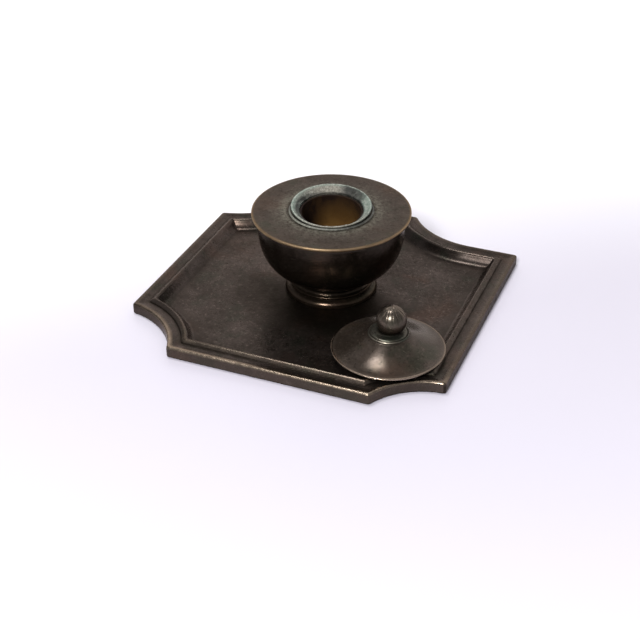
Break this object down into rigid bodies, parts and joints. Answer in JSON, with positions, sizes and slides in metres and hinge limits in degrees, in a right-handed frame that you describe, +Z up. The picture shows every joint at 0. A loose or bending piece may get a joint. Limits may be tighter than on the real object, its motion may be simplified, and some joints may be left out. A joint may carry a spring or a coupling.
{
  "type": "inkwell",
  "caption": "Footed bronze inkwell bowl with a loose ink liner, on a square tray with scooped corners, its ball-knobbed lid laid beside it.",
  "frame": {"origin": "centre of the tray's underside, on the surface the inkwell stands on", "axes": "+Z up; -Y towards the tray's front edge, where the lid lies; +X to the right"},
  "size_m": [0.2, 0.2014, 0.061],
  "materials": {
    "tray_bronze": "aged dark brown patina, satin, worn on raised edges",
    "pot_bronze": "near-black patina, semi-gloss",
    "plate_bronze": "brown patina, satin, bright worn edge",
    "lid_bronze": "dark patina, semi-gloss",
    "knob_bronze": "handled and polished dark bronze",
    "verdigris": "chalky pale green corrosion over bronze",
    "ink_stained_brass": "dull, stained ochre brown",
    "brass_fastener": "dull turned brass"
  },
  "bodies": {
    "base": {"tray": "tray_bronze", "pot_foot": "pot_bronze", "pot_bowl": "pot_bronze", "top_plate": "plate_bronze", "liner_seat": "verdigris", "foot_screw": "brass_fastener", "foot_washer": "brass_fastener", "foot_nut": "brass_fastener"},
    "liner": {"liner_collar": "verdigris", "ink_cup": "ink_stained_brass"},
    "lid": {"lid_shell": "lid_bronze", "lid_spigot": "lid_bronze", "lid_collar": "lid_bronze", "knob": "knob_bronze", "knob_stud": "brass_fastener", "knob_washer": "brass_fastener", "knob_nut": "brass_fastener"}
  },
  "joints": [
    {"name": "liner_lift", "type": "slide", "parent": "base", "child": "liner", "axis": [0.0294, -0.0727, 0.9969], "range_m": [0, 0.05]},
    {"name": "lid_lift", "type": "slide", "parent": "base", "child": "lid", "axis": [0, 0, 1], "range_m": [0, 0.08]}
  ]
}
